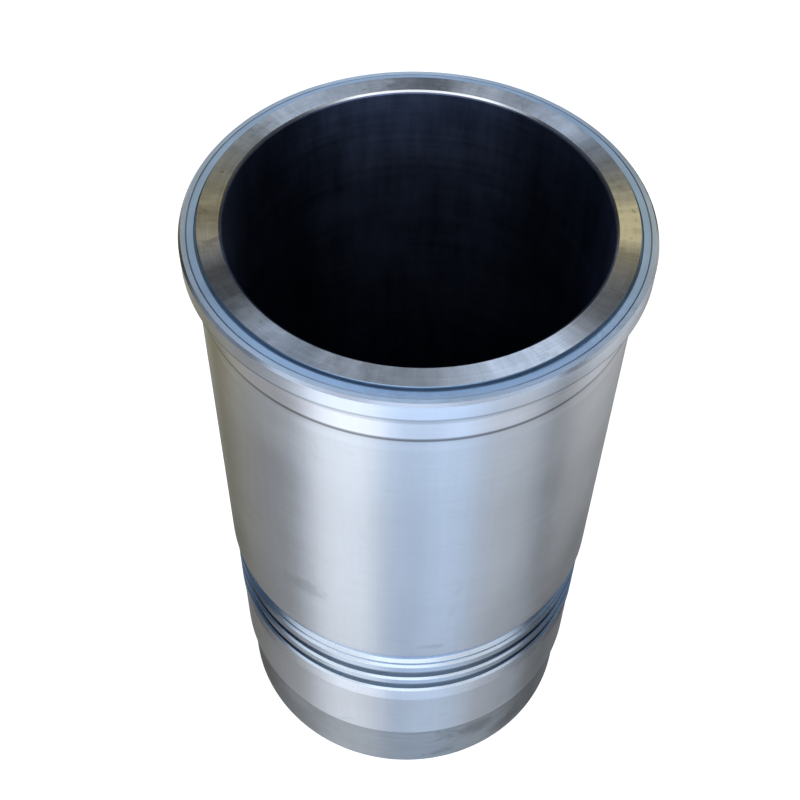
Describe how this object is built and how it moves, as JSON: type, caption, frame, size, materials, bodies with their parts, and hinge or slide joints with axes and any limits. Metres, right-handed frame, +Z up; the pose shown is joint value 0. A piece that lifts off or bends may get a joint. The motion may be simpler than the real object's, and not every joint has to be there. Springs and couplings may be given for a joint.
{
  "type": "cylinder liner",
  "caption": "Open-ended cylinder liner: a plain round metal barrel with a stepped top flange, seal grooves near its lower end and a smooth honed bore right through it.",
  "frame": {"origin": "centre of the bore in the plane of the bottom end face", "axes": "+Z up along the bore axis, from the bottom end face to the top land; X and Y are free, as the part is round"},
  "size_m": [0.171, 0.1708, 0.29],
  "materials": {
    "liner": "fine turned and ground grey iron, honed in the bore"
  },
  "bodies": {
    "root": {"liner": "liner"}
  },
  "joints": []
}
